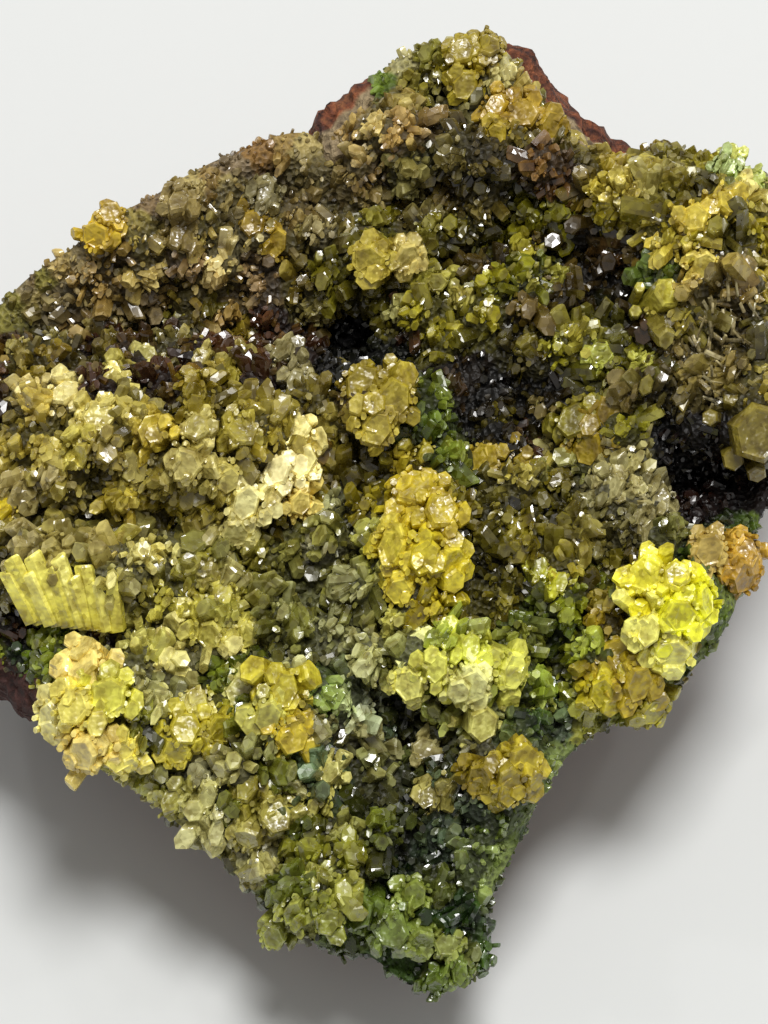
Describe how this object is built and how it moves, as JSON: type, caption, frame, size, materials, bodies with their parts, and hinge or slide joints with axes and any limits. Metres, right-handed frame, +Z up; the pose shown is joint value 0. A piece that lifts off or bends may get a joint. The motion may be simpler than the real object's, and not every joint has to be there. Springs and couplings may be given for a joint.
{
  "type": "pyromorphite specimen",
  "caption": "Broken lump of rusty iron-oxide rock under a crust of six-sided yellow and green crystals, with larger yellow crystal groups standing in the crust; rests on a flat patch.",
  "frame": {"origin": "middle of the flat patch that the specimen rests on", "axes": "+Z up, away from the resting patch; +Y towards the peak at the back, along the longest extent; +X to the right as seen from the front"},
  "size_m": [0.0594, 0.0628, 0.0273],
  "materials": {
    "gossan": "rough, rusty",
    "druse": "glassy, sparkling",
    "straw_crystal": "waxy, translucent",
    "gold_crystal": "waxy, translucent",
    "honey_crystal": "waxy, translucent",
    "cream_crystal": "waxy, translucent",
    "lime_crystal": "waxy, translucent",
    "lemon_crystal": "waxy, translucent",
    "amber_crystal": "waxy, translucent"
  },
  "bodies": {
    "root": {"rock_matrix": "gossan", "crystal_crust": "druse", "comb_plate": "straw_crystal", "left_knob": "gold_crystal", "corner_castle": "straw_crystal", "stepped_log": "lemon_crystal", "twin_blocks": "gold_crystal", "golden_castle": "gold_crystal", "honey_boss": "honey_crystal", "cream_hook": "cream_crystal", "cream_boss": "cream_crystal", "lime_ledge": "lime_crystal", "hexagon_tablet": "straw_crystal", "speckled_boss": "honey_crystal", "lemon_castle": "lemon_crystal", "amber_cluster": "amber_crystal", "gold_slab": "gold_crystal", "barrel_pair": "honey_crystal", "pale_barrel": "honey_crystal", "lime_chip": "lime_crystal", "lime_fan": "lime_crystal", "honey_row": "honey_crystal", "peak_gold": "gold_crystal", "peak_crown": "honey_crystal", "rib_boss": "straw_crystal", "clover": "gold_crystal", "ridge_knob": "gold_crystal"}
  },
  "joints": []
}
